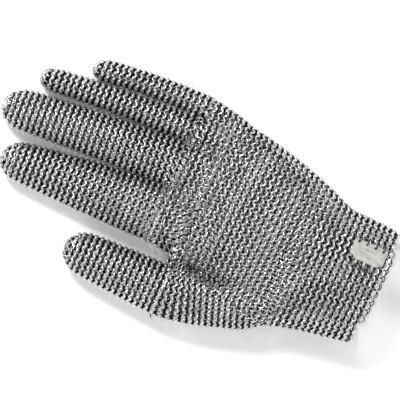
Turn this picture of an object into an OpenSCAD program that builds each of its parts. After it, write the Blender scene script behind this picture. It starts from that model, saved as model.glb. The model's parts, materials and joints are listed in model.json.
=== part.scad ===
// Ring-mesh cut resistant glove, worn on the right hand and lying palm down.
// Units are millimetres. +Y runs from the cuff to the fingertips, -X is the thumb side and +Z is
// the back of the hand. The origin lies on the flat underside of the palm, under its middle.

/* [Mesh] */
// Thickness of the ring mesh
mesh_t = 1.4; // [1:0.1:2]
// Wire diameter of a ring
wire_d = 0.55; // [0.5:0.05:0.7]
// Outside diameter of a ring
ring_od = 4; // [3.6:0.1:5]
// Gap between two pieces of mesh that move apart
seam_gap = 0.5; // [0.4:0.1:1]

/* [Cuff] */
// Width of the wrist opening
cuff_w = 62; // [54:1:70]
// Height of the wrist opening
cuff_h = 36; // [32:1:42]
// How far the middle of the cuff edge bows out
cuff_bow = 3.5; // [1:0.5:5]
// Depth of the band of rings that ends the cuff
cuff_band_l = 6; // [4:0.5:9]

/* [Palm] */
// Distance from the cuff to the row of finger roots
palm_l = 118; // [112:1:130]
// Width across the knuckles
palm_w = 80; // [76:1:90]
// Height of the back of the hand over the knuckles
palm_h = 27; // [24:1:32]
// Height of the seam between the back panel and the palm panel
panel_seam_z = 12; // [10:1:14]
// Distance from the cuff to the flat under the palm that marks the origin
rest_y = 62; // [50:1:70]

/* [Fingers] */
// Length of the index finger from its root
index_l = 83.5; // [74:0.5:100]
// Width of the index finger at its root
index_w = 30; // [24:0.2:30.2]
// Height of the index finger at its root
index_h = 22; // [19:0.5:24]
// Length of the middle finger from its root
middle_l = 94; // [80:0.5:112]
// Width of the middle finger at its root
middle_w = 24.2; // [20:0.2:24.4]
// Height of the middle finger at its root
middle_h = 23; // [20:0.5:25]
// Length of the ring finger from its root
ring_l = 82; // [70:0.5:98]
// Width of the ring finger at its root
ring_w = 14; // [12:0.2:14.2]
// Height of the ring finger at its root
ring_h = 19.5; // [17:0.5:22]
// Length of the little finger from its root
little_l = 62; // [54:0.5:74]
// Width of the little finger at its root
little_w = 12.4; // [10:0.2:13]
// Height of the little finger at its root
little_h = 17; // [15:0.5:19]
// Largest bend of a finger at its root, in degrees
root_bend = 60; // [30:5:70]
// Largest bend of a finger at its middle joint, in degrees
middle_bend = 75; // [30:5:80]
// Largest bend of a finger at its last joint, in degrees
tip_bend = 45; // [20:5:60]

/* [Thumb] */
// Distance from the cuff to the crotch of the thumb
thumb_root_y = 98; // [90:1:104]
// Length of the thumb from its root
thumb_l = 54; // [46:0.5:64]
// Width of the thumb at its root
thumb_w = 27; // [24:0.5:29]
// Height of the thumb at its root
thumb_h = 24; // [20:0.5:27]
// Largest bend of the thumb at its root, in degrees
thumb_root_bend = 30; // [15:5:40]
// Largest bend of the thumb at its last joint, in degrees
thumb_tip_bend = 50; // [30:5:60]

/* [Closure] */
// Length of the steel plate, along the hand
plate_l = 18; // [14:0.5:22]
// Width of the steel plate
plate_w = 9; // [7:0.5:11]
// Thickness of the steel plate
plate_t = 0.8; // [0.6:0.1:1.2]
// Number of rings that link the plate to the flap
link_rings_n = 4; // [3:1:5]
// Number of hooks on the plate
hooks_n = 3; // [2:1:4]
// How far the wrist slit reaches up the hand
slit_l = 26; // [22:1:30]
// Distance from the middle of the hand to the flap's free edge
slit_x = 19.3; // [16:0.5:22]

/* [Hidden] */

mesh_colour = [0.62, 0.61, 0.6];
fold_colour = [0.5, 0.49, 0.48];
plate_colour = [0.78, 0.78, 0.77];
ring_colour = [0.7, 0.7, 0.69];

big = 400;               // larger than the glove, for cutting blocks
thin = 0.12;             // thickness of the slices that the mesh shapes are drawn through
below = -3;              // the shapes run this far under the table and are cut flat on it
squareness = 2.4;        // exponent of the oval sections, 2 is an ellipse
oval_steps = 36;         // corners of an oval section
slices = 6;              // lengths that a stretch of finger is drawn in
ring_r = (ring_od - wire_d) / 2;   // radius of a ring's centre line

// Where the fingers stand across the hand: side by side, each a gap from the one before it
finger_gaps = [0.7, 0.4, 0.6];
index_x = -13.4;
middle_x = index_x + index_w / 2 + finger_gaps[0] + middle_w / 2;
ring_x = middle_x + middle_w / 2 + finger_gaps[1] + ring_w / 2;
little_x = ring_x + ring_w / 2 + finger_gaps[2] + little_w / 2;
thumb_x = -palm_w / 2 - 7.7;

// Fingers: [root x, root y, lean, length, root width, height, shares of the length at the two
// joints, share of the width and of the height left at the tip, sideways curve at the tip]
index_finger = [index_x, palm_l, 3.2, index_l, index_w, index_h, 0.41, 0.71, 0.62, 0.8, -1.5];
middle_finger = [middle_x, palm_l, 4.3, middle_l, middle_w, middle_h, 0.4, 0.71, 0.87, 0.78, -2.3];
ring_finger = [ring_x, palm_l, 3, ring_l, ring_w, ring_h, 0.4, 0.7, 0.88, 0.84, -3.4];
little_finger = [little_x, palm_l - 3, 0.6, little_l, little_w, little_h, 0.37, 0.68, 0.98, 0.84, -5.5];
thumb = [thumb_x, thumb_root_y, 0, thumb_l, thumb_w, thumb_h, 0.5, 0.5, 0.78, 0.78, 0];
fingers = [index_finger, middle_finger, ring_finger, little_finger];

// The sections of the palm move along with its length, from the length that they are drawn at
drawn_palm_l = 118;
function palm_y(y) = y * palm_l / drawn_palm_l;

// Where the mesh over each finger's bone starts in the palm, and where it passes the knuckle:
// [x, distance from the cuff, half width, height]
index_ray = [[-10, palm_y(50), 6, 25], [index_x - 0.8, palm_l - 20, index_w / 2 + 0.2, palm_h]];
middle_ray = [[5, palm_y(50), 6, 26], [middle_x - 0.4, palm_l - 20, middle_w / 2 + 1.5, palm_h + 0.5]];
ring_ray = [[18, palm_y(50), 6, 25], [ring_x - 0.5, palm_l - 20, ring_w / 2 + 2.5, palm_h - 1.5]];
little_ray = [[30, palm_y(50), 5, 22], [little_x - 4.5, palm_l - 22, little_w / 2 + 1, palm_h - 5]];
rays = [index_ray, middle_ray, ring_ray, little_ray];
thumb_ray = [
    [-22, palm_y(30), 12, 27],
    [thumb_x + 14.2, thumb_root_y - 46, thumb_w / 2 + 2.5, thumb_h + 4],
    [thumb_x + 6.4, thumb_root_y - 23, thumb_w / 2 + 2.7, thumb_h + 3],
    [thumb_x + 2, thumb_root_y - 8, thumb_w / 2 + 1.7, thumb_h + 1.5]
];

// The palm under those: [left edge, right edge, distance from the cuff, height]
palm_sections = [
    [-cuff_w / 2 + 0.5, cuff_w / 2, -cuff_bow - 1, cuff_h],
    [-cuff_w / 2 - 3, cuff_w / 2 + 0.7, 10, cuff_h],
    [-cuff_w / 2 - 6, cuff_w / 2 + 0.5, palm_y(26), cuff_h - 1],
    [-cuff_w / 2 - 10, cuff_w / 2 + 6, palm_y(40), cuff_h - 3],
    [-palm_w / 2 + 1, palm_w / 2 + 1.9, palm_y(56), palm_h + 4],
    [-palm_w / 2 + 6, palm_w / 2 + 6, palm_y(74), palm_h + 2],
    [-palm_w / 2 + 10.5, palm_w / 2 + 8.8, palm_y(92), palm_h - 1],
    [-palm_w / 2 + 14, palm_w / 2 + 8, palm_l - 13, palm_h - 5],
    [-palm_w / 2 + 16, palm_w / 2 + 6, palm_l - 5.5, palm_h - 10]
];

// The inside of the palm runs on past the cuff, and ends a mesh thickness short of the webs.
function section_y(p, inset, over) =
    p[2] < 0 ? p[2] - over : p[2] > palm_l - 6 ? p[2] - inset : p[2];

function superellipse(a, b) = [
    for (i = [0:oval_steps - 1])
        let (t = 360 * i / oval_steps, c = cos(t), s = sin(t))
            [a * sign(c) * pow(abs(c), 2 / squareness), b * sign(s) * pow(abs(s), 2 / squareness)]
];

// One oval slice across the hand, with its sides drawn in by inset.
module slice(x, y, half_w, top, inset, bottom = below) {
    translate([x, y, (top + bottom) / 2])
        rotate([90, 0, 0])
            linear_extrude(thin, center = true)
                polygon(superellipse(half_w - inset, (top - bottom) / 2 - inset));
}

// The frame of one finger: its root on the surface, with +Y along the finger.
module along(finger) {
    translate([finger[0], finger[1], 0])
        rotate([0, 0, finger[2]])
            children();
}

function joint_1(finger) = finger[3] * finger[6];
function joint_2(finger) = finger[3] * finger[7];
function axis_z(height) = 0.42 * height;   // height of a finger joint over the surface

// Half width and height of a finger at a distance s from its root
function taper(finger, s, end_share) = 1 - (1 - end_share) * pow(max(s, 0) / finger[3], 1.6);
function half_w(finger, s) = finger[4] / 2 * taper(finger, s, finger[8]);
function height(finger, s) = finger[5] * taper(finger, s, finger[9]);
function aside(finger, s) = finger[10] * pow(max(s, 0) / finger[3], 2);

// A finger's slice at distance s, drawn in towards the round end of the fingertip.
module finger_slice(finger, s, inset) {
    end = finger[3] - inset;
    round_l = 1.05 * half_w(finger, finger[3]) - inset;
    past = max(0, s - (end - round_l)) / round_l;
    shrink = sqrt(max(0, 1 - pow(past, 2)));
    top = height(finger, s);
    mid = 0.45 * top;
    half = half_w(finger, s) - inset;
    slice(aside(finger, s), s, max(half * shrink, thin), mid + max((top - inset - mid) * shrink, thin), 0,
        mid - max((mid - inset - below) * shrink, thin));
}

// A finger's solid from s0 to s1, with its slices closer together where it ends in a round tip.
module finger_solid(finger, s0, s1, inset) {
    start = s0 + thin / 2;
    end = min(s1, finger[3] - inset) - thin / 2;
    crowd = s1 > finger[3] - 1 ? 90 / slices : 0;
    stops = [
        for (i = [0:slices])
            start + (end - start) * (crowd > 0 ? sin(crowd * i) : i / slices)
    ];
    for (i = [0:slices - 1])
        hull() {
            finger_slice(finger, stops[i], inset);
            finger_slice(finger, stops[i + 1], inset);
        }
}

// The palm with the roots of all fingers, as a solid drawn in by inset and run on past its open
// ends by over.
module hand_solid(inset, over) {
    for (i = [0:len(palm_sections) - 2])
        hull() {
            for (p = [palm_sections[i], palm_sections[i + 1]])
                slice((p[0] + p[1]) / 2, section_y(p, inset, over), (p[1] - p[0]) / 2, p[3], inset);
        }
    for (f = [0:len(fingers) - 1]) {
        hull() {
            for (p = rays[f])
                slice(p[0], p[1], p[2], p[3], inset);
        }
        hull() {
            slice(rays[f][1][0], rays[f][1][1], rays[f][1][2], rays[f][1][3], inset);
            along(fingers[f])
                finger_slice(fingers[f], over - (seam_gap + thin) / 2, inset);
        }
    }
    for (i = [0:len(thumb_ray) - 2])
        hull() {
            for (p = [thumb_ray[i], thumb_ray[i + 1]])
                slice(p[0], p[1], p[2], p[3], inset);
        }
    last = thumb_ray[len(thumb_ray) - 1];
    hull() {
        slice(last[0], last[1], last[2], last[3], inset);
        along(thumb)
            finger_slice(thumb, over - (seam_gap + thin) / 2, inset);
    }
}

// The wedge under a joint where the mesh gathers as the finger bends.
module fold_wedge(finger, s, bend, gap) {
    z = axis_z(height(finger, s));
    reach = (z + 1) * tan(bend / 2);
    translate([0, s, 0])
        rotate([90, 0, 90])
            linear_extrude(2 * finger[4], center = true)
                polygon([[-gap / 2, z], [gap / 2, z], [gap / 2 + reach, -1], [-gap / 2 - reach, -1]]);
}

module above_table(z) {
    translate([-big / 2, -big / 2, z])
        cube(big);
}

flap_hinge_z = 17;        // height of the line that the flap swings about
flap_lap = ring_od / 2 + 0.2;   // width of the slit under the plate, clear of the link rings
slit_slant = 8;           // how far the slit runs across past the plate
plate_y = 1;              // where the plate starts, from the cuff

// The room of the wrist flap: right of its free edge and of the slit's slanted end, with a gap
// round it, and lap added along the free edge under the plate
module flap_block(gap, lap = 0) {
    bend_y = plate_y + plate_l;
    translate([0, 0, flap_hinge_z - gap])
        linear_extrude(big)
            polygon([
                [slit_x - lap, -big / 20],
                [slit_x - lap, bend_y],
                [slit_x - gap, bend_y + gap],
                [slit_x + slit_slant - gap, slit_l + gap],
                [big / 10, slit_l + gap],
                [big / 10, -big / 20]
            ]);
}

// The ring mesh of the whole palm, open at the cuff and at every finger.
module hand_shell() {
    trim_r = (pow(cuff_w / 2, 2) + pow(cuff_bow, 2)) / (2 * cuff_bow);
    difference() {
        intersection() {
            hand_solid(0, 0);
            above_table(0);
            translate([0, trim_r - cuff_bow, -1])
                cylinder(r = trim_r, h = big, $fn = 180);
        }
        intersection() {
            hand_solid(mesh_t, 2);
            above_table(mesh_t);
        }
        for (finger = fingers)
            along(finger)
                fold_wedge(finger, 0, root_bend, seam_gap);
        along(thumb)
            fold_wedge(thumb, 0, thumb_root_bend, seam_gap);
    }
}

gusset_top_x = -palm_w / 2 + 9.2;      // the gusset's seam at the crotch of the thumb
gusset_low = [-palm_w / 2 - 3, palm_y(42)];   // and where it meets the side of the hand

// Left of a line from the crotch of the thumb down to the side of the hand
module thumb_side() {
    translate([0, 0, -1])
        linear_extrude(big)
            polygon([
                [gusset_top_x, thumb_root_y + 30],
                [gusset_top_x, thumb_root_y],
                gusset_low,
                [-big / 4, gusset_low[1] - 22],
                [-big / 4, thumb_root_y + 30]
            ]);
}

module band_block() {
    translate([-big / 2, -big / 2, -1])
        cube([big, big / 2 + cuff_band_l, big]);
}

module back_panel() {
    color(mesh_colour)
        difference() {
            hand_shell();
            translate([-big / 2, -big / 2, panel_seam_z - big])
                cube(big);
            thumb_side();
            flap_block(seam_gap, flap_lap);
            band_block();
        }
}

module palm_panel() {
    color(mesh_colour)
        difference() {
            hand_shell();
            above_table(panel_seam_z);
            thumb_side();
            band_block();
        }
}

module thumb_gusset() {
    color(mesh_colour)
        intersection() {
            hand_shell();
            thumb_side();
        }
}

module cuff_band() {
    color(mesh_colour)
        difference() {
            intersection() {
                hand_shell();
                band_block();
            }
            flap_block(seam_gap, flap_lap);
        }
}

module closure_flap() {
    color(mesh_colour)
        intersection() {
            hand_shell();
            flap_block(0);
        }
}

// A tube of mesh over one length of a finger, open at both joints
module finger_tube(finger, s0, s1, bend_0, bend_1) {
    open_end = s1 < finger[3];
    color(mesh_colour)
        along(finger)
            difference() {
                intersection() {
                    finger_solid(finger, s0 + seam_gap / 2, open_end ? s1 - seam_gap / 2 : s1, 0);
                    above_table(0);
                }
                intersection() {
                    finger_solid(finger, s0 - 1, open_end ? s1 + 1 : s1, mesh_t);
                    above_table(mesh_t);
                }
                fold_wedge(finger, s0, bend_0, seam_gap);
                if (open_end)
                    fold_wedge(finger, s1, bend_1, seam_gap);
            }
}

// The mesh that lies under a joint and gathers as it bends
module finger_fold(finger, s, bend) {
    reach = 12;
    color(fold_colour)
        along(finger)
            intersection() {
                difference() {
                    intersection() {
                        finger_solid(finger, s - reach, s + reach, 0);
                        above_table(0);
                    }
                    intersection() {
                        finger_solid(finger, s - reach - 1, s + reach + 1, mesh_t);
                        above_table(mesh_t);
                    }
                }
                translate([0, 0, -seam_gap])
                    fold_wedge(finger, s, bend, 0);
            }
}

// Height of the back of the wrist at x, where the plate lies, and how it slopes there
wrist = palm_sections[1];
wrist_mid = (wrist[0] + wrist[1]) / 2;
wrist_half = (wrist[1] - wrist[0]) / 2;
function wrist_z(x) = (wrist[3] + below) / 2 + (wrist[3] - below) / 2
    * pow(1 - pow(abs(x - wrist_mid) / wrist_half, squareness), 1 / squareness);
function wrist_slope(x) = atan((wrist_z(x - 1) - wrist_z(x + 1)) / 2);

plate_lift = 0.35;       // clearance between the plate and the mesh under it
plate_edge = 0.55;       // from the plate's edge to the line that it swings about
plate_hole_r = 0.75;     // holes for the link rings
plate_corner_r = 1;
plate_mid_x = slit_x - plate_w / 2 - 0.3;
plate_tilt = wrist_slope(plate_mid_x);
hook_reach = 2.3;        // from the plate's edge to a hook's tip
hook_r = 0.35;
hook_w = 1.2;
hook_t = 0.5;
tab_w = 1.2;             // how far the plate bulges towards the hooks
catch_gap = 0.44;        // clearance between neighbouring catch rings
hook_space = ring_od + catch_gap;
tab_l = hooks_n * hook_space;

// The plate's frame: on its middle plane, where it swings, with +X across and +Y along the hand
module plate_frame() {
    translate([plate_mid_x, plate_y, wrist_z(plate_mid_x)])
        rotate([0, plate_tilt, 0])
            translate([plate_w / 2 + plate_edge, 0, plate_lift + plate_t / 2])
                children();
}

function link_y(i) = plate_l * (i + 0.5) / link_rings_n;
function hook_y(i) = (plate_l - tab_l) / 2 + hook_space * (i + 0.5);

module rounded_square(w, l, r) {
    translate([r, 0])
        square([w - 2 * r, l]);
    translate([0, r])
        square([w, l - 2 * r]);
    for (x = [r, w - r], y = [r, l - r])
        translate([x, y])
            circle(r = r, $fn = 32);
}

module closure_plate() {
    color(plate_colour)
        plate_frame()
            difference() {
                translate([-plate_edge - plate_w, 0, -plate_t / 2])
                    linear_extrude(plate_t) {
                        rounded_square(plate_w, plate_l, plate_corner_r);
                        translate([-tab_w, (plate_l - tab_l) / 2])
                            rounded_square(plate_w / 2, tab_l, plate_corner_r);
                    }
                for (i = [0:link_rings_n - 1])
                    translate([-ring_r, link_y(i), -plate_t])
                        cylinder(r = plate_hole_r, h = 2 * plate_t, $fn = 32);
            }
}

module ring() {
    rotate_extrude($fn = 48)
        translate([ring_r, 0])
            circle(d = wire_d, $fn = 20);
}

module link_rings() {
    color(ring_colour)
        plate_frame()
            for (i = [0:link_rings_n - 1])
                translate([0, link_y(i), 0])
                    rotate([90, 0, 0])
                        ring();
}

hook_x = -plate_edge - plate_w - tab_w - hook_reach + hook_r;   // the hooks' tips in the plate's frame
hook_drop = plate_lift + plate_t / 2 + 0.3;

module plate_hooks() {
    color(plate_colour)
        plate_frame()
            for (i = [0:hooks_n - 1])
                translate([hook_x, hook_y(i), 0]) {
                    translate([0, -hook_w / 2, -hook_t / 2])
                        cube([hook_reach - hook_r, hook_w, hook_t]);
                    translate([0, 0, -hook_drop])
                        cylinder(r = hook_r, h = hook_drop + hook_t / 2, $fn = 24);
                }
}

module catch_rings() {
    x = plate_mid_x + (hook_x + plate_w / 2 + plate_edge) * cos(plate_tilt);
    color(ring_colour)
        for (i = [0:hooks_n - 1])
            translate([x, plate_y + hook_y(i), wrist_z(x)])
                rotate([0, wrist_slope(x), 0])
                    translate([0, 0, wire_d / 2 + 0.05])
                        ring();
}

module root_mesh(finger) finger_tube(finger, 0, joint_1(finger), root_bend, middle_bend);
module middle_mesh(finger) finger_tube(finger, joint_1(finger), joint_2(finger), middle_bend, tip_bend);
module tip_mesh(finger) finger_tube(finger, joint_2(finger), finger[3], tip_bend, 0);
module root_fold(finger) finger_fold(finger, 0, root_bend);
module middle_fold(finger) finger_fold(finger, joint_1(finger), middle_bend);
module tip_fold(finger) finger_fold(finger, joint_2(finger), tip_bend);

module thumb_root_mesh() finger_tube(thumb, 0, joint_1(thumb), thumb_root_bend, thumb_tip_bend);
module thumb_tip_mesh() finger_tube(thumb, joint_1(thumb), thumb[3], thumb_tip_bend, 0);
module thumb_root_fold() finger_fold(thumb, 0, thumb_root_bend);
module thumb_tip_fold() finger_fold(thumb, joint_1(thumb), thumb_tip_bend);

module index_root_mesh() root_mesh(index_finger);
module index_root_fold() root_fold(index_finger);
module index_middle_mesh() middle_mesh(index_finger);
module index_middle_fold() middle_fold(index_finger);
module index_tip_mesh() tip_mesh(index_finger);
module index_tip_fold() tip_fold(index_finger);

module middle_root_mesh() root_mesh(middle_finger);
module middle_root_fold() root_fold(middle_finger);
module middle_middle_mesh() middle_mesh(middle_finger);
module middle_middle_fold() middle_fold(middle_finger);
module middle_tip_mesh() tip_mesh(middle_finger);
module middle_tip_fold() tip_fold(middle_finger);

module ring_root_mesh() root_mesh(ring_finger);
module ring_root_fold() root_fold(ring_finger);
module ring_middle_mesh() middle_mesh(ring_finger);
module ring_middle_fold() middle_fold(ring_finger);
module ring_tip_mesh() tip_mesh(ring_finger);
module ring_tip_fold() tip_fold(ring_finger);

module little_root_mesh() root_mesh(little_finger);
module little_root_fold() root_fold(little_finger);
module little_middle_mesh() middle_mesh(little_finger);
module little_middle_fold() middle_fold(little_finger);
module little_tip_mesh() tip_mesh(little_finger);
module little_tip_fold() tip_fold(little_finger);

// Brings the origin under the middle of the palm
module draw() {
    translate([0, -rest_y, 0])
        children();
}

draw() back_panel();
draw() palm_panel();
draw() thumb_gusset();
draw() cuff_band();
draw() closure_flap();
draw() link_rings();
draw() closure_plate();
draw() plate_hooks();
draw() catch_rings();
draw() thumb_root_fold();
draw() thumb_root_mesh();
draw() thumb_tip_fold();
draw() thumb_tip_mesh();
draw() index_root_fold();
draw() index_root_mesh();
draw() index_middle_fold();
draw() index_middle_mesh();
draw() index_tip_fold();
draw() index_tip_mesh();
draw() middle_root_fold();
draw() middle_root_mesh();
draw() middle_middle_fold();
draw() middle_middle_mesh();
draw() middle_tip_fold();
draw() middle_tip_mesh();
draw() ring_root_fold();
draw() ring_root_mesh();
draw() ring_middle_fold();
draw() ring_middle_mesh();
draw() ring_tip_fold();
draw() ring_tip_mesh();
draw() little_root_fold();
draw() little_root_mesh();
draw() little_middle_fold();
draw() little_middle_mesh();
draw() little_tip_fold();
draw() little_tip_mesh();
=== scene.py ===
"""A stainless ring mesh cut resistant glove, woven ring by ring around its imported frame."""

import json
import math
import random

import bmesh
import bpy
from bpy.props import FloatProperty, FloatVectorProperty, IntProperty, PointerProperty
from mathutils import Matrix, Vector
from mathutils.bvhtree import BVHTree


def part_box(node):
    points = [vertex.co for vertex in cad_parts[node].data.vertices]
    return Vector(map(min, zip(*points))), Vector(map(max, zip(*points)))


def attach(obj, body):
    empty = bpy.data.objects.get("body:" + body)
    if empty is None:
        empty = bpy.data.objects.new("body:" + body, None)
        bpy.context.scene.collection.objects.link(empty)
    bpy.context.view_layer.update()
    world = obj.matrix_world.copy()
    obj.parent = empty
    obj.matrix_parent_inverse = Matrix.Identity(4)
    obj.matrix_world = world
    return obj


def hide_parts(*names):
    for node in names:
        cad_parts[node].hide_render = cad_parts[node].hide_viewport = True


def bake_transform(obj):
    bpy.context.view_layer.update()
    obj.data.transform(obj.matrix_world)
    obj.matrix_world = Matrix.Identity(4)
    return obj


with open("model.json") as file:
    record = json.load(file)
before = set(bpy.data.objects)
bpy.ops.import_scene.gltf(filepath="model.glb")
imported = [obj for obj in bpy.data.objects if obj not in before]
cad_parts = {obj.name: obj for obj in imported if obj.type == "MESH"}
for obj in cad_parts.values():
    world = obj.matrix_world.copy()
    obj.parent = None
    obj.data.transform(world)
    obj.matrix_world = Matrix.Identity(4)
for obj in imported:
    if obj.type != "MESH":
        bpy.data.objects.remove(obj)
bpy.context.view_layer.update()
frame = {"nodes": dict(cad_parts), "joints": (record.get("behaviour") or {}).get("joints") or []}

bl_info = {
    "name": "Ring mesh glove",
    "version": (1, 0, 0),
    "blender": (4, 5, 0),
    "location": "View3D > Sidebar > Glove",
    "description": "Weaves a stainless ring mesh glove around its frame",
    "category": "Mesh",
}

MM = 0.001
UP = Vector((0, 0, 1))
SEED = 11
JOINTS = {joint["name"]: joint for joint in frame["joints"]}
BOXES = {name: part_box(name) for name in frame["nodes"]}
FINGERS = ("index", "middle", "ring", "little")
# Which sides of each finger lie against its neighbour: left, right
TOUCHING = {"index": (0, 1), "middle": (1, 1), "ring": (1, 1), "little": (1, 0), "thumb": (0, 0)}
PALM_NODES = ["back_panel", "palm_panel", "thumb_gusset", "cuff_band", "closure_flap"]

# The main lines of the hand, whose fingers point along Y and whose thumb is on the left
CUFF_Y = BOXES["palm_panel"][0].y - 6 * MM       # the cuff's end at the sides of the hand
WEB_Y = JOINTS["middle_root_flex"]["pos_m"][1]   # the line where the fingers start
SEAM_Z = BOXES["palm_panel"][1].z                # the side seam between back and palm
MIDDLE_X = (BOXES["palm_panel"][0].x + BOXES["palm_panel"][1].x) / 2
THUMB_LOW_Y = BOXES["thumb_gusset"][0].y
THUMB_HIGH_Y = JOINTS["thumb_root_flex"]["pos_m"][1]

# The seam between the back of the hand and the thumb's gusset, at its two ends
GUSSET_LOW_X = -43 * MM
GUSSET_RUN_X = 12.2 * MM

# The cuff: how far its lines are drawn past the sides, how far its end bows out, how far each
# side of the mesh reaches past that bow, and where its own piece ends and the hand's starts
CUFF_OVERRUN = 3.2 * MM
CUFF_BOW = 3.5 * MM
BACK_SHORT = 1.2 * MM
PALM_LONG = 1 * MM
CUFF_DEPTH = 6 * MM

# The slit beside the wrist flap: its width and how far it stops short of the flap's end, and how
# far past that end the flap's own piece goes on into the hand, so that it can bend.
SLIT_W = 1.2 * MM
SLIT_SHORT = 7 * MM
FLAP_PAST = 8 * MM

# The thumb's gusset: the way its lines run from the thumb's root to the cuff, how soon they turn
# that way, how long they run, how many rows they have, and how far its rings pass the seam
GUSSET_WAY = Vector((24, -62, 0)).normalized()
GUSSET_TURN = 14 * MM
GUSSET_LENGTH = 66 * MM
GUSSET_ROWS = 22
GUSSET_LAP = 0.2 * MM

# Fingers: steps of the fine skin, how far from the end the tip rounds off, and the share of the
# finger over which its bulge towards the next one fades
SKIN_STEP = 0.4 * MM
TIP_ROUND = 8 * MM
SWELL_SHARE = 0.55

# The stage: half the floor's width and the places and sizes of the lamps in metres, the strength
# of the world, and how far off the camera is
FLOOR_HALF = 1.5
KEY_PLACE, KEY_SIZE = (0.34, 0.52, 0.78), 0.22
FILL_PLACE, FILL_SIZE = (-0.6, 0.1, 0.8), 0.6
ROOM_LIGHT = 0.85
CAMERA_FAR = 1.4


# ------------------------------------------------------------------ settings

def linear(hex_colour):
    """A hex colour as the linear numbers that the shader takes."""
    out = []
    for i in (1, 3, 5):
        c = int(hex_colour[i:i + 2], 16) / 255
        out.append(c / 12.92 if c <= 0.04045 else ((c + 0.055) / 1.055) ** 2.4)
    return tuple(out)


class GloveMeshSettings(bpy.types.PropertyGroup):
    """Sizes of the ring mesh."""

    wire_d: FloatProperty(
        name="Wire", description="Diameter of the wire that the rings are made of",
        default=0.55 * MM, min=0.3 * MM, max=0.8 * MM, unit="LENGTH", precision=5)
    ring_od: FloatProperty(
        name="Ring", description="Outside diameter of one ring",
        default=4 * MM, min=3 * MM, max=8 * MM, unit="LENGTH", precision=5)
    pitch: FloatProperty(
        name="Pitch", description="Distance between two rings of one row",
        default=3.2 * MM, min=2 * MM, max=6 * MM, unit="LENGTH", precision=5)
    row_space: FloatProperty(
        name="Row spacing", description="Distance between two rows of rings",
        default=2.22 * MM, min=1.5 * MM, max=5 * MM, unit="LENGTH", precision=5)
    lean: FloatProperty(
        name="Lean", description="How far each ring leans out of the mesh",
        default=math.radians(27.5), min=math.radians(10), max=math.radians(30),
        unit="ROTATION", subtype="ANGLE")
    slack: FloatProperty(
        name="Slack", description="How far rings lie out of line with each other",
        default=0.09 * MM, min=0, max=0.3 * MM, unit="LENGTH", precision=6)
    unrest: FloatProperty(
        name="Unrest", description="How far rings lean and twist out of line with each other",
        default=math.radians(4), min=0, max=math.radians(10), unit="ROTATION", subtype="ANGLE")
    proud: FloatProperty(
        name="Proud", description="How far the rings' crests stand out of the frame's surface",
        default=0.45 * MM, min=0, max=1.5 * MM, unit="LENGTH", precision=5)
    swell: FloatProperty(
        name="Swell", description="How far fingers bulge towards the finger beside them",
        default=0.75 * MM, min=0, max=2 * MM, unit="LENGTH", precision=5)
    ring_steps: IntProperty(
        name="Ring steps", description="Lengths that a ring is made of", default=14, min=8, max=24)
    wire_sides: IntProperty(
        name="Wire sides", description="Sides of the wire", default=4, min=3, max=8)


class GloveFinishSettings(bpy.types.PropertyGroup):
    """Colours and finish of the steel."""

    steel: FloatVectorProperty(
        name="Ring steel", description="Colour of the tumbled stainless wire",
        subtype="COLOR", size=3, default=linear("#F7F5F3"), min=0, max=1)
    # Painted shade: the near-black colour given to the half of each ring that turns into the
    # glove, so that the gaps between rings look dark
    shade_steel: FloatVectorProperty(
        name="Inner steel", description="Colour of the wire where it turns into the glove",
        subtype="COLOR", size=3, default=linear("#191919"), min=0, max=1)
    plate: FloatVectorProperty(
        name="Plate steel", description="Colour of the brushed closing plate",
        subtype="COLOR", size=3, default=linear("#BDBCB9"), min=0, max=1)


class GloveStageSettings(bpy.types.PropertyGroup):
    """Floor, lamps and camera."""

    floor: FloatVectorProperty(
        name="Floor", description="Colour of the floor", subtype="COLOR", size=3,
        default=linear("#F8F8F8"), min=0, max=1)
    key: FloatProperty(
        name="Key lamp", description="Strength of the main lamp", default=8, min=0, unit="POWER")
    fill: FloatProperty(
        name="Fill lamp", description="Strength of the second lamp", default=0.5, min=0,
        unit="POWER")
    width: FloatProperty(
        name="View width", description="Width of floor that the camera takes in",
        default=205 * MM, min=50 * MM, unit="LENGTH")


# ------------------------------------------------------------------ the frame's outer surface

def surface(nodes):
    """A tree of the faces of some of the frame's nodes."""
    points, faces = [], []
    for name in nodes:
        mesh = frame["nodes"][name].data
        start = len(points)
        points.extend(v.co.copy() for v in mesh.vertices)
        faces.extend([start + i for i in p.vertices] for p in mesh.polygons)
    return BVHTree.FromPolygons(points, faces)


def eased(spans, share, window=9):
    """Lifts the valleys of an outline, such as those between the knuckles, as mesh spans them."""
    count = len(spans)
    out = []
    for i, span in enumerate(spans):
        before = max(spans[(i - k) % count] for k in range(window))
        after = max(spans[(i + k) % count] for k in range(window))
        out.append(span + share * (min(before, after) - span))
    return out


def outline(tree, centre, right, along, count, reach=90 * MM, ease=0.0, gap=0.5 * MM):
    """Points round the frame in the plane across along, from below and round by the right.
    Each ray is cast three times close together, so that none falls through a joint's gap."""
    ways, spans = [], []
    for i in range(count):
        angle = math.tau * i / count
        way = right * math.sin(angle) - UP * math.cos(angle)
        far = 0.0
        for step in (-gap, 0, gap):
            start = centre + along * step
            found = tree.ray_cast(start + way * reach, -way, reach)
            if found[0] is not None:
                far = max(far, (found[0] - start).dot(way))
        ways.append(way)
        spans.append(far)
    for i in range(count):
        near = 1
        while spans[i] < 1 * MM and near < count // 4:
            spans[i] = max(spans[i - near], spans[(i + near) % count])
            near += 1
    if ease:
        spans = eased(spans, ease)
    return [centre + way * span for way, span in zip(ways, spans)]


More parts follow.
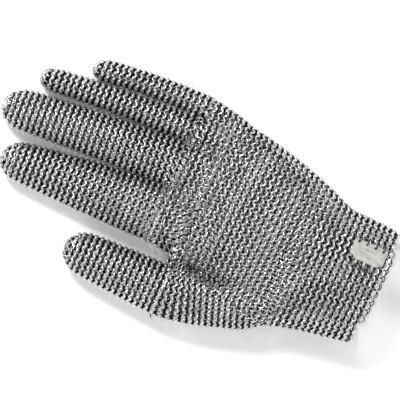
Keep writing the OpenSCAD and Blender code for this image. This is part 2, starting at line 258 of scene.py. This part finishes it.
class Line:
    """A path of points that can be asked for any share of its length."""

    def __init__(self, points):
        self.points = points
        self.lengths = [0.0]
        for a, b in zip(points, points[1:]):
            self.lengths.append(self.lengths[-1] + (b - a).length)
        self.length = self.lengths[-1]

    def at(self, share):
        want = max(0.0, min(1.0, share)) * self.length
        low, high = 0, len(self.points) - 1
        while high - low > 1:
            mid = (low + high) // 2
            if self.lengths[mid] <= want:
                low = mid
            else:
                high = mid
        step = max(self.lengths[high] - self.lengths[low], 1e-9)
        return self.points[low].lerp(self.points[high], (want - self.lengths[low]) / step)


def grid_of(lines, rows):
    """For each line of a skin, one point in the middle of each row."""
    return [[line.at((k + 0.5) / rows) for k in range(rows)] for line in lines]


def smoothed(grid, rounds=2):
    """Takes the steps out of a grid along its rows."""
    for _ in range(rounds):
        middle = [
            [(a + b * 2 + c) / 4 for a, b, c in zip(*trio)]
            for trio in zip(grid, grid[1:], grid[2:])
        ]
        grid = [grid[0]] + middle + [grid[-1]]
    return grid


# ------------------------------------------------------------------ weaving

def ring_spots(grid, parity=0):
    """Where rings go: at every second point of a grid whose lines lie half a pitch apart. Rows
    lean by turns one way and the other. Each spot is place, way along the row, way out, side."""
    spots = []
    last = len(grid) - 1
    for i, line in enumerate(grid):
        for k, point in enumerate(line):
            if (i + k + parity) % 2:
                continue
            along = grid[min(i + 1, last)][k] - grid[max(i - 1, 0)][k]
            across = line[min(k + 1, len(line) - 1)] - line[max(k - 1, 0)]
            out = along.cross(across)
            if out.length < 1e-12:
                continue
            spots.append((point, along.normalized(), out.normalized(), 1 if k % 2 else -1))
    return spots


def ring_template(s):
    """One ring on the origin, how far each of its corners stands out of the mesh once it leans,
    from -1 inside to 1 at its crest, and how far that crest is from its middle."""
    radius = (s.ring_od - s.wire_d) / 2
    bm = bmesh.new()
    bmesh.ops.create_circle(bm, segments=s.wire_sides, radius=s.wire_d / 2)
    bmesh.ops.rotate(bm, verts=bm.verts, matrix=Matrix.Rotation(math.radians(90), 3, "X"))
    bmesh.ops.translate(bm, verts=bm.verts, vec=(radius, 0, 0))
    bmesh.ops.spin(
        bm, geom=bm.edges[:], axis=(0, 0, 1), cent=(0, 0, 0),
        steps=s.ring_steps, angle=math.tau, use_merge=True)
    bmesh.ops.remove_doubles(bm, verts=bm.verts, dist=1e-6)
    bmesh.ops.recalc_face_normals(bm, faces=bm.faces)
    mesh = bpy.data.meshes.new("ring_template")
    bm.to_mesh(mesh)
    bm.free()
    half = radius * math.sin(s.lean) + s.wire_d / 2
    stand = [
        (v.co.x * math.sin(s.lean) + v.co.z * math.cos(s.lean)) / half for v in mesh.vertices]
    return mesh, stand, half


def weave(name, spots, material):
    """A piece of mesh: a ring at each spot, leaned along its row, its crest on the surface."""
    if not spots:
        raise RuntimeError(f"no rings to weave for {name}")
    s = bpy.context.scene.glove_mesh
    template, stand, half = ring_template(s)
    rng = random.Random(f"{SEED} {name}")
    unturned = [c for v in template.vertices for c in v.co]
    bm = bmesh.new()
    for point, along, out, side in spots:
        along = (along - out * along.dot(out)).normalized()
        lean = s.lean + rng.gauss(0, s.unrest)
        x_way = along * side * math.cos(lean) + out * math.sin(lean)
        y_way = out.cross(along * side)
        turn = Matrix((x_way, y_way, x_way.cross(y_way))).transposed()
        turn = Matrix.Rotation(rng.gauss(0, s.unrest), 3, out) @ turn
        place = point - out * (half - s.proud + abs(rng.gauss(0, s.slack)))
        place += along * rng.gauss(0, s.slack) + out.cross(along) * rng.gauss(0, s.slack)
        # No ring goes through the floor, however it leans
        reach = (s.ring_od - s.wire_d) / 2 * math.hypot(turn[2][0], turn[2][1]) + s.wire_d / 2
        place.z = max(place.z, reach)
        template.vertices.foreach_set("co", unturned)
        template.transform(Matrix.Translation(place) @ turn.to_4x4())
        bm.from_mesh(template, face_normals=False, vertex_normals=False)
    mesh = bpy.data.meshes.new(name)
    bm.to_mesh(mesh)
    bm.free()
    mesh.shade_smooth()
    # Each corner's stand, from which the material paints shade on the inner half of every ring
    mesh.attributes.new("stand", "FLOAT", "POINT").data.foreach_set("value", stand * len(spots))
    tones = []
    for _ in spots:
        tones += [rng.random()] * len(template.vertices)
    mesh.attributes.new("tone", "FLOAT", "POINT").data.foreach_set("value", tones)
    mesh.materials.append(material)
    bpy.data.meshes.remove(template)
    piece = bpy.data.objects.new(name, mesh)
    bpy.context.scene.collection.objects.link(piece)
    return piece


# ------------------------------------------------------------------ materials

def add_node(tree, kind, inputs=None, **settings):
    """Adds a node with its settings and its inputs, each a value or the socket linked to it."""
    node = tree.nodes.new(kind)
    for key, value in settings.items():
        setattr(node, key, value)
    for key, value in (inputs or {}).items():
        if isinstance(value, bpy.types.NodeSocket):
            tree.links.new(value, node.inputs[key])
        else:
            node.inputs[key].default_value = value
    return node


def new_material(name):
    """An empty node material with its principled shader."""
    material = bpy.data.materials.get(name) or bpy.data.materials.new(name)
    material.use_nodes = True
    material.node_tree.nodes.clear()
    tree = material.node_tree
    shader = add_node(tree, "ShaderNodeBsdfPrincipled")
    add_node(tree, "ShaderNodeOutputMaterial", {"Surface": shader.outputs[0]})
    return material, tree, shader


def tumbled_stainless_wire():
    """Welded stainless rings, tumbled smooth: bright crests, and painted shade, near black, on the
    half of each ring that turns into the glove.
    """
    finish = bpy.context.scene.glove_finish
    material, tree, shader = new_material("tumbled_stainless_wire")
    stand = add_node(tree, "ShaderNodeAttribute", attribute_name="stand")
    tone = add_node(tree, "ShaderNodeAttribute", attribute_name="tone")
    coords = add_node(tree, "ShaderNodeTexCoord")
    # Patches about 12 mm wide where the mesh has been polished more or less by wear
    wear = add_node(tree, "ShaderNodeTexNoise", {
        "Vector": coords.outputs["Object"], "Scale": 80.0, "Detail": 2.0})
    # Painted shade: the share of the steel's own colour, falling from the crest to nothing on the
    # half of each ring that turns into the glove
    depth = add_node(tree, "ShaderNodeMapRange", {
        "Value": stand.outputs["Fac"], "From Min": -0.02, "From Max": 0.28},
        interpolation_type="SMOOTHSTEP")
    bright = add_node(tree, "ShaderNodeMapRange", {
        "Value": tone.outputs["Fac"], "To Min": 0.8, "To Max": 1.08})
    worn = add_node(tree, "ShaderNodeMapRange", {
        "Value": wear.outputs["Fac"], "From Min": 0.3, "From Max": 0.7,
        "To Min": 0.88, "To Max": 1.06})
    level = add_node(tree, "ShaderNodeMath", {
        0: bright.outputs[0], 1: worn.outputs[0]}, operation="MULTIPLY")
    steel = add_node(tree, "ShaderNodeMix", {
        "Factor": 1.0, "A": (*finish.steel, 1), "B": level.outputs[0]},
        data_type="RGBA", blend_type="MULTIPLY")
    # The steel, mixed into the painted shade colour on each ring's inner half
    colour = add_node(tree, "ShaderNodeMix", {
        "Factor": depth.outputs[0], "A": (*finish.shade_steel, 1), "B": steel.outputs["Result"]},
        data_type="RGBA")
    dull = add_node(tree, "ShaderNodeMapRange", {
        "Value": depth.outputs[0], "To Min": 0.85, "To Max": 0.18})
    tree.links.new(colour.outputs["Result"], shader.inputs["Base Color"])
    tree.links.new(dull.outputs[0], shader.inputs["Roughness"])
    shader.inputs["Metallic"].default_value = 1.0
    return material


def brushed_stainless_plate():
    """The closing plate: stamped sheet, brushed along its length, a little scratched."""
    finish = bpy.context.scene.glove_finish
    material, tree, shader = new_material("brushed_stainless_plate")
    coords = add_node(tree, "ShaderNodeTexCoord")
    # Real brush lines lie under 0.1 mm apart: drawn about 0.7 mm apart and 9 mm long here, so
    # that they show
    lines = add_node(tree, "ShaderNodeMapping", {
        "Vector": coords.outputs["Object"], "Scale": (1500.0, 110.0, 1500.0)})
    brush = add_node(tree, "ShaderNodeTexNoise", {
        "Vector": lines.outputs[0], "Scale": 1.0, "Detail": 3.0})
    # Smears and dull spots of 2 to 4 mm from handling
    patches = add_node(tree, "ShaderNodeTexNoise", {
        "Vector": coords.outputs["Object"], "Scale": 330.0, "Detail": 3.0})
    smear = add_node(tree, "ShaderNodeMapRange", {
        "Value": patches.outputs["Fac"], "From Min": 0.35, "From Max": 0.65,
        "To Min": 0.86, "To Max": 1.08})
    streak = add_node(tree, "ShaderNodeMapRange", {
        "Value": brush.outputs["Fac"], "From Min": 0.35, "From Max": 0.65,
        "To Min": 0.85, "To Max": 1.08})
    shades = add_node(tree, "ShaderNodeMath", {
        0: smear.outputs[0], 1: streak.outputs[0]}, operation="MULTIPLY")
    colour = add_node(tree, "ShaderNodeMix", {
        "Factor": 1.0, "A": (*finish.plate, 1), "B": shades.outputs[0]},
        data_type="RGBA", blend_type="MULTIPLY")
    rough = add_node(tree, "ShaderNodeMapRange", {
        "Value": brush.outputs["Fac"], "From Min": 0.3, "From Max": 0.7,
        "To Min": 0.35, "To Max": 0.65})
    bump = add_node(tree, "ShaderNodeBump", {
        "Height": brush.outputs["Fac"], "Strength": 0.4, "Distance": 0.00004})
    tree.links.new(colour.outputs["Result"], shader.inputs["Base Color"])
    tree.links.new(rough.outputs[0], shader.inputs["Roughness"])
    tree.links.new(bump.outputs[0], shader.inputs["Normal"])
    shader.inputs["Metallic"].default_value = 1.0
    return material


def drawn_stainless_wire():
    """The heavier look of the few loose rings at the plate: drawn wire, darker and smoother."""
    material, tree, shader = new_material("drawn_stainless_wire")
    coords = add_node(tree, "ShaderNodeTexCoord")
    # Stains about 1 mm wide
    stains = add_node(tree, "ShaderNodeTexNoise", {
        "Vector": coords.outputs["Object"], "Scale": 900.0, "Detail": 2.0})
    colour = add_node(tree, "ShaderNodeValToRGB", {"Fac": stains.outputs["Fac"]})
    colour.color_ramp.elements[0].color = (*linear("#141312"), 1)
    colour.color_ramp.elements[1].color = (*linear("#5C5A57"), 1)
    tree.links.new(colour.outputs[0], shader.inputs["Base Color"])
    shader.inputs["Metallic"].default_value = 1.0
    shader.inputs["Roughness"].default_value = 0.25
    return material


def studio_paper():
    """The matt pale floor."""
    material, tree, shader = new_material("studio_paper")
    coords = add_node(tree, "ShaderNodeTexCoord")
    # Paper cloudiness about 5 mm wide, barely seen
    cloud = add_node(tree, "ShaderNodeTexNoise", {
        "Vector": coords.outputs["Object"], "Scale": 200.0, "Detail": 2.0})
    level = add_node(tree, "ShaderNodeMapRange", {
        "Value": cloud.outputs["Fac"], "To Min": 0.985, "To Max": 1.01})
    colour = add_node(tree, "ShaderNodeMix", {
        "Factor": 1.0, "A": (*bpy.context.scene.glove_stage.floor, 1), "B": level.outputs[0]},
        data_type="RGBA", blend_type="MULTIPLY")
    tree.links.new(colour.outputs["Result"], shader.inputs["Base Color"])
    shader.inputs["Roughness"].default_value = 0.9
    return material


# ------------------------------------------------------------------ the hand

def gusset_x(y):
    """How far left the back of the hand reaches beside the thumb: the seam of its gusset."""
    return GUSSET_LOW_X + GUSSET_RUN_X * (y - THUMB_LOW_Y) / (THUMB_HIGH_Y - THUMB_LOW_Y)


def trimmed(points, value):
    """The part of a path where value is above zero, cut exactly where it starts and ends."""
    kept = []
    for a, b in zip(points, points[1:]):
        va, vb = value(a), value(b)
        if va > 0 and not kept:
            kept.append(a)
        if (va > 0) != (vb > 0):
            kept.append(a.lerp(b, va / (va - vb)))
        if vb > 0:
            kept.append(b)
    return kept


def hand_lines():
    """The outer surface of the hand in lines across it, half a pitch apart. Each is the back from
    left to right, the palm from right to left, and past the thumb the wall between them."""
    s = bpy.context.scene.glove_mesh
    tree = surface(PALM_NODES)
    thumb_high = THUMB_HIGH_Y - 1 * MM
    # The wall past the thumb has its own rows between these heights. Valleys between the knuckles
    # are spanned over this run, and less towards the web
    wall_low, wall_high = 3 * MM, 17 * MM
    ease_run = 24 * MM
    back, palm, wall = [], [], []
    y = CUFF_Y - CUFF_OVERRUN
    while y < WEB_Y - 0.8 * MM:
        # Past the cuff's sides only the middle of it is left, so its shape is taken further in
        probe = max(y, CUFF_Y + 1 * MM)
        centre = Vector((MIDDLE_X, probe, SEAM_Z))
        near_web = (y - WEB_Y) / ease_run + 1
        ease = 0.75 - 0.5 * near_web if near_web > 0 else 0.0
        ring = outline(tree, centre, Vector((1, 0, 0)), Vector((0, 1, 0)), 240, ease=ease)
        for point in ring:
            point.y = y
        # From the left seam over the back to the right seam, and back under the palm
        over = ring[60:181][::-1]
        under = (ring[180:] + ring[:61])[::-1]
        if THUMB_LOW_Y < y <= thumb_high:
            # Beside the seam the back is found from straight above, up to 20 mm in from it
            limit = gusset_x(y)
            inner = limit + 20 * MM
            shoulder = []
            for n in range(21):
                x = limit + n * 1 * MM
                found = tree.ray_cast(Vector((x, probe, 80 * MM)), -UP, 80 * MM)[0]
                if found is not None and found.z > SEAM_Z:
                    shoulder.append(Vector((x, y, found.z)))
            over = shoulder + trimmed(over, lambda p: p.x - inner)
            under = trimmed(under, lambda p: p.x - limit)
        if y > thumb_high:
            side = [p for p in over if p.x < 0 and p.z < wall_high]
            side = [p for p in under if p.x < 0 and p.z > wall_low] + side
            over = trimmed(over, lambda p: 1 if p.x > 0 else p.z - wall_high)
            under = trimmed(under, lambda p: 1 if p.x > 0 else wall_low - p.z)
            wall.append(Line([under[-1]] + side + [over[0]]))
        back.append(Line(over))
        palm.append(Line(under))
        y += s.pitch / 2
    return back, palm, wall


def outward_spots(lines, parity=0, rounds=3):
    """Ring spots over an open skin of the hand, all facing out of it."""
    s = bpy.context.scene.glove_mesh
    spans = sorted(line.length for line in lines)
    rows = round(spans[len(spans) // 2] / s.row_space)
    spots = []
    for point, along, out, side in ring_spots(smoothed(grid_of(lines, rows), rounds), parity):
        if out.dot(point - Vector((MIDDLE_X, point.y, SEAM_Z))) < 0:
            out = -out
        spots.append((point, along, out, side))
    return spots


def cuff_edge(x):
    """How far the cuff's bowed end reaches past its sides."""
    half = (BOXES["cuff_band"][1].x - BOXES["cuff_band"][0].x) / 2
    return CUFF_Y - CUFF_BOW * max(0.0, 1 - (x / half) ** 2)


def in_slit(point):
    """True in the slit between the back of the wrist and its flap."""
    flap = BOXES["closure_flap"]
    left, end = flap[0].x, flap[1].y
    return left - SLIT_W < point.x < left and point.y < end - SLIT_SHORT


def in_flap(point):
    """True on the flap and a little past it, where its mesh goes on into the hand."""
    flap = BOXES["closure_flap"]
    left, end = flap[0].x, flap[1].y
    if point.z < flap[0].z or point.y > end + FLAP_PAST:
        return False
    past = point.y - (end - SLIT_SHORT)
    return point.x > left + max(0.0, past) * FLAP_PAST / SLIT_SHORT


class GLOVE_OT_hand(bpy.types.Operator):
    """Weaves the mesh of the hand: back, palm, cuff and wrist flap"""

    bl_idname = "glove.hand"
    bl_label = "Hand mesh"

    def execute(self, context):
        steel = tumbled_stainless_wire()
        back_lines, palm_lines, wall_lines = hand_lines()
        back = outward_spots(back_lines) + outward_spots(wall_lines, 1)
        palm = outward_spots(palm_lines, 1)
        sets = {"back_rings": [], "palm_rings": [], "cuff_rings": [], "flap_rings": []}
        for part, spots in (("back_rings", back), ("palm_rings", palm)):
            for spot in spots:
                point = spot[0]
                # The palm's side runs a ring further, so that the bowed edge looks full from above
                short = BACK_SHORT if part == "back_rings" else -PALM_LONG
                if point.y < cuff_edge(point.x) + short:
                    continue
                if part == "back_rings" and in_slit(point):
                    continue
                if in_flap(point):
                    sets["flap_rings"].append(spot)
                elif point.y < CUFF_Y + CUFF_DEPTH:
                    sets["cuff_rings"].append(spot)
                else:
                    sets[part].append(spot)
        nodes = {
            "back_rings": ["back_panel"], "palm_rings": ["palm_panel"],
            "cuff_rings": ["cuff_band"], "flap_rings": ["closure_flap"]}
        for name, spots in sets.items():
            piece = weave(name, spots, steel)
            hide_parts(*nodes[name])
            if name == "flap_rings":
                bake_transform(piece)
            else:
                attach(piece, "palm")
        return {"FINISHED"}


# ------------------------------------------------------------------ thumb gusset

class GLOVE_OT_gusset(bpy.types.Operator):
    """Weaves the mesh at the base of the thumb, whose rows run on from the thumb"""

    bl_idname = "glove.gusset"
    bl_label = "Thumb gusset mesh"

    def execute(self, context):
        s = context.scene.glove_mesh
        tree = surface(PALM_NODES + ["thumb_root_fold"])
        centre = Vector(JOINTS["thumb_root_flex"]["pos_m"])
        centre.z = SEAM_Z
        step, far = s.pitch / 2, 0
        back, palm = [], []
        while far * step < GUSSET_LENGTH:
            # The first lines turn with the thumb, the rest run along the slanted base
            ahead = min(1.0, far * step / GUSSET_TURN)
            way = Vector((0, -1, 0)).lerp(GUSSET_WAY, ahead).normalized()
            if far:
                centre = centre + way * step
            across = Vector((-way.y, way.x, 0))
            if across.x < 0:
                across = -across
            ring = outline(tree, centre, across, way, 120)
            # Half round over the back and half round under the palm, from the outer side
            back.append(Line(ring[30:91][::-1]))
            palm.append(Line(ring[90:] + ring[:31]))
            far += 1
        spots = self.half_spots(back, 0) + self.half_spots(palm, 1)
        kept = [
            spot for spot in spots
            if spot[0].x < gusset_x(spot[0].y) + GUSSET_LAP and spot[0].y > THUMB_LOW_Y]
        piece = weave("gusset_rings", kept, tumbled_stainless_wire())
        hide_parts("thumb_gusset")
        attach(piece, "palm")
        return {"FINISHED"}

    def half_spots(self, lines, parity):
        """Ring spots of the back or the palm half, in rows counted from the outer side in."""
        s = bpy.context.scene.glove_mesh
        grid = smoothed([
            [line.at(min(1.0, (k + 0.5) * s.row_space / line.length)) for k in range(GUSSET_ROWS)]
            for line in lines])
        last = len(grid) - 1
        spots = []
        for i, line in enumerate(grid):
            for k in range(GUSSET_ROWS - 1):
                if (i + k + parity) % 2 or (k + 0.5) * s.row_space > lines[i].length:
                    continue
                point = line[k]
                along = (grid[max(i - 1, 0)][k] - grid[min(i + 1, last)][k]).normalized()
                out = along.cross(line[k + 1] - line[max(k - 1, 0)]).normalized()
                if out.dot(point - Vector((gusset_x(point.y), point.y, SEAM_Z))) < 0:
                    out = -out
                spots.append((point, along, out, 1 if (k + parity) % 2 else -1))
        return spots


# ------------------------------------------------------------------ fingers

def finger_skin(name):
    """Lines round a finger half a pitch apart along its skin, each one's distance from the root,
    the joints' distances from it, the way the finger points, its end, and its middle line."""
    s = bpy.context.scene.glove_mesh
    joints = [f"{name}_root_flex", f"{name}_middle_flex", f"{name}_tip_flex"]
    joints = [Vector(JOINTS[j]["pos_m"]) for j in joints if j in JOINTS]
    parts = [n for n in frame["nodes"] if n.startswith(name + "_")]
    tree = surface(parts)
    tip_box = BOXES[f"{name}_tip_mesh"]
    end = Vector(((tip_box[0].x + tip_box[1].x) / 2, tip_box[1].y, 0))
    axis = Vector(JOINTS[f"{name}_tip_flex"]["axis"])
    lean = math.atan2(axis.y, -axis.x)
    forward = Vector((math.sin(lean), math.cos(lean), 0))
    right = Vector((forward.y, -forward.x, 0))
    root = joints[0]
    reach = (end - root).dot(forward)
    last = joints[-1] - root
    share = last.dot(forward) / reach
    curve = last.dot(right) / share ** 2 if abs(last.dot(right)) > 1e-5 else 0.0
    heights = [j.z for j in joints]

    def centre(along):
        part = along / reach
        z = heights[0] + (heights[-1] - heights[0]) * min(1.0, max(0.0, part / share))
        return Vector((root.x, root.y, 0)) + forward * along + right * curve * part ** 2 + UP * z

    fine = []
    step = SKIN_STEP
    left_side, right_side = TOUCHING[name]
    for i in range(int((reach - 0.1 * MM) / step) + 1):
        c = centre(i * step)
        gap = 0.5 * MM if i * step < reach - TIP_ROUND else 0.0
        ring = outline(tree, c, right, forward, 96, reach=30 * MM, gap=gap)
        fade = max(0.0, 1 - i * step / (SWELL_SHARE * reach))
        for k, point in enumerate(ring):
            aside = (point - c).dot(right)
            if (aside > 0 and right_side) or (aside < 0 and left_side):
                span = max(abs((p - c).dot(right)) for p in (ring[24], ring[72]))
                ring[k] = point + right * (aside / span * s.swell * fade ** 0.5)
        fine.append((c, ring))
    # Distance along the skin, which is longer than along the finger where the tip rounds off
    skin = [0.0]
    for (c0, r0), (c1, r1) in zip(fine, fine[1:]):
        mean0 = sum((p - c0).length for p in r0) / len(r0)
        mean1 = sum((p - c1).length for p in r1) / len(r1)
        skin.append(skin[-1] + math.hypot(step, mean1 - mean0))
    lines, places, i = [], [], 0
    want = 0.0
    while want < skin[-1]:
        while i < len(skin) - 2 and skin[i + 1] < want:
            i += 1
        t = (want - skin[i]) / max(skin[i + 1] - skin[i], 1e-9)
        ring = [a.lerp(b, t) for a, b in zip(fine[i][1], fine[i + 1][1])]
        lines.append(Line(ring + [ring[0]]))
        places.append((i + t) * step)
        want += s.pitch / 2
    stops = [(j - root).dot(forward) for j in joints]
    return lines, places, stops, forward, centre(reach), centre


def finger_spots(name):
    """Ring spots of a finger, each with its distance from the root, and its joints' distances."""
    s = bpy.context.scene.glove_mesh
    lines, places, stops, forward, tip, centre = finger_skin(name)
    around = sorted(line.length for line in lines[:len(lines) * 2 // 3])
    rows = 2 * round(around[len(around) // 2] / s.row_space / 2)
    # The rows run on until the tip crowds them to three quarters of their spacing
    full = [line.length / rows > 0.74 * s.row_space for line in lines]
    body = full.index(False) if False in full else len(lines)
    grid = smoothed(grid_of(lines[:body + 1], rows), 2)
    spots = []
    for i, line in enumerate(grid[:body]):
        for k in range(rows):
            if (i + k) % 2:
                continue
            along = grid[i + 1][k] - grid[max(i - 1, 0)][k]
            across = line[(k + 1) % rows] - line[k - 1]
            out = across.cross(along).normalized()
            if out.dot(line[k] - centre(places[i])) < 0:
                out = -out
            spots.append(((line[k], along.normalized(), out, 1 if k % 2 else -1), places[i]))
    # The round tip, with as many rings in each line as fit round it. The crests of its last lines
    # face the end, so that no half painted with shade is left open there
    for i in range(body, len(lines)):
        if lines[i].length < 2.2 * s.row_space:
            break
        count = max(3, round(lines[i].length / s.row_space / 2))
        for k in range(count):
            share = (k + 0.5 * (i % 2) + 0.25) / count
            point = lines[i].at(share % 1)
            before = lines[i - 1].at(share % 1)
            across = lines[i].at((share + 0.04) % 1) - lines[i].at((share - 0.04) % 1)
            along = (point - before).normalized()
            out = across.cross(along).normalized()
            if out.dot(point - centre(places[i] - 4 * MM)) < 0:
                out = -out
            side = 1 if i % 2 or i > len(lines) - 4 else -1
            spots.append(((point, along, out, side), places[i]))
    spots.append(((tip, UP, forward, 1), places[-1]))
    return spots, stops


class GLOVE_OT_fingers(bpy.types.Operator):
    """Weaves the mesh of the five fingers, in a piece for each joint"""

    bl_idname = "glove.fingers"
    bl_label = "Finger mesh"

    def execute(self, context):
        steel = tumbled_stainless_wire()
        for name in FINGERS + ("thumb",):
            spots, stops = finger_spots(name)
            joints = ["root", "middle", "tip"] if len(stops) == 3 else ["root", "tip"]
            for n, joint in enumerate(joints):
                low = (stops[n - 1] + stops[n]) / 2 if n else -math.inf
                high = (stops[n] + stops[n + 1]) / 2 if n + 1 < len(joints) else math.inf
                mine = [spot for spot, place in spots if low <= place < high]
                piece = weave(f"{name}_{joint}_rings", mine, steel)
                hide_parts(f"{name}_{joint}_fold", f"{name}_{joint}_mesh")
                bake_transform(piece)
        return {"FINISHED"}


# ------------------------------------------------------------------ closure

class GLOVE_OT_closure(bpy.types.Operator):
    """Gives the closing plate, its hooks and its rings their finish"""

    bl_idname = "glove.closure"
    bl_label = "Closing plate"

    def execute(self, context):
        plate, wire = brushed_stainless_plate(), drawn_stainless_wire()
        finishes = {
            "closure_plate": plate, "plate_hooks": plate,
            "link_rings": wire, "catch_rings": wire}
        for name, material in finishes.items():
            mesh = frame["nodes"][name].data
            mesh.materials.clear()
            mesh.materials.append(material)
        return {"FINISHED"}


# ------------------------------------------------------------------ stage

def lamp(name, place, aim, size, power):
    """A soft square lamp that shines from place to aim."""
    data = bpy.data.lights.new(name, "AREA")
    data.shape = "SQUARE"
    data.size = size
    data.energy = power
    holder = bpy.data.objects.new(name, data)
    holder.location = place
    holder.rotation_euler = (Vector(aim) - Vector(place)).to_track_quat("-Z", "Y").to_euler()
    bpy.context.scene.collection.objects.link(holder)


class GLOVE_OT_stage(bpy.types.Operator):
    """Sets the floor, the lamps, the world and the camera"""

    bl_idname = "glove.stage"
    bl_label = "Stage"

    def execute(self, context):
        scene = context.scene
        stage = scene.glove_stage
        bm = bmesh.new()
        bmesh.ops.create_grid(bm, x_segments=4, y_segments=4, size=FLOOR_HALF)
        mesh = bpy.data.meshes.new("floor")
        bm.to_mesh(mesh)
        bm.free()
        mesh.materials.append(studio_paper())
        floor = bpy.data.objects.new("floor", mesh)
        scene.collection.objects.link(floor)
        middle = Vector((2.7 * MM, 36.6 * MM, 15 * MM))    # the middle of the glove
        lamp("key", KEY_PLACE, middle, KEY_SIZE, stage.key)
        lamp("fill", FILL_PLACE, middle, FILL_SIZE, stage.fill)
        world = bpy.data.worlds.new("studio")
        world.use_nodes = True
        tree = world.node_tree
        tree.nodes.clear()
        room = add_node(tree, "ShaderNodeBackground", {
            "Color": (1, 1, 1, 1), "Strength": ROOM_LIGHT})
        add_node(tree, "ShaderNodeOutputWorld", {"Surface": room.outputs[0]})
        scene.world = world
        scene.view_settings.view_transform = "Standard"
        self.set_camera(scene, middle, stage.width)
        return {"FINISHED"}

    def set_camera(self, scene, aim, width):
        """Looks straight down on the back of the hand from far off, fingers to the upper left."""
        data = bpy.data.cameras.new("camera")
        data.sensor_width = 36
        data.lens = data.sensor_width * CAMERA_FAR / width
        data.clip_start = 0.05
        camera = bpy.data.objects.new("camera", data)
        right = Vector((0.423, -0.906, 0)).normalized()
        turn = Matrix((right, UP.cross(right), UP)).transposed()
        camera.matrix_world = Matrix.Translation(aim + UP * CAMERA_FAR) @ turn.to_4x4()
        scene.collection.objects.link(camera)
        scene.camera = camera


class GLOVE_PT_sidebar(bpy.types.Panel):
    """Lists the glove's settings and what makes its pieces."""

    bl_idname = "GLOVE_PT_sidebar"
    bl_label = "Ring mesh glove"
    bl_space_type = "VIEW_3D"
    bl_region_type = "UI"
    bl_category = "Glove"

    def draw(self, context):
        for settings in (context.scene.glove_mesh, context.scene.glove_finish,
                         context.scene.glove_stage):
            for key in settings.__annotations__:
                self.layout.prop(settings, key)
        for operator in OPERATORS:
            self.layout.operator(operator.bl_idname)


OPERATORS = (GLOVE_OT_hand, GLOVE_OT_gusset, GLOVE_OT_fingers, GLOVE_OT_closure, GLOVE_OT_stage)
CLASSES = (
    GloveMeshSettings, GloveFinishSettings, GloveStageSettings, *OPERATORS, GLOVE_PT_sidebar)


def register():
    for cls in CLASSES:
        bpy.utils.register_class(cls)
    bpy.types.Scene.glove_mesh = PointerProperty(type=GloveMeshSettings)
    bpy.types.Scene.glove_finish = PointerProperty(type=GloveFinishSettings)
    bpy.types.Scene.glove_stage = PointerProperty(type=GloveStageSettings)


def unregister():
    del bpy.types.Scene.glove_stage
    del bpy.types.Scene.glove_finish
    del bpy.types.Scene.glove_mesh
    for cls in reversed(CLASSES):
        bpy.utils.unregister_class(cls)


def main():
    register()
    bpy.ops.glove.hand()
    bpy.ops.glove.gusset()
    bpy.ops.glove.fingers()
    bpy.ops.glove.closure()
    bpy.ops.glove.stage()


if __name__ == "__main__":
    main()
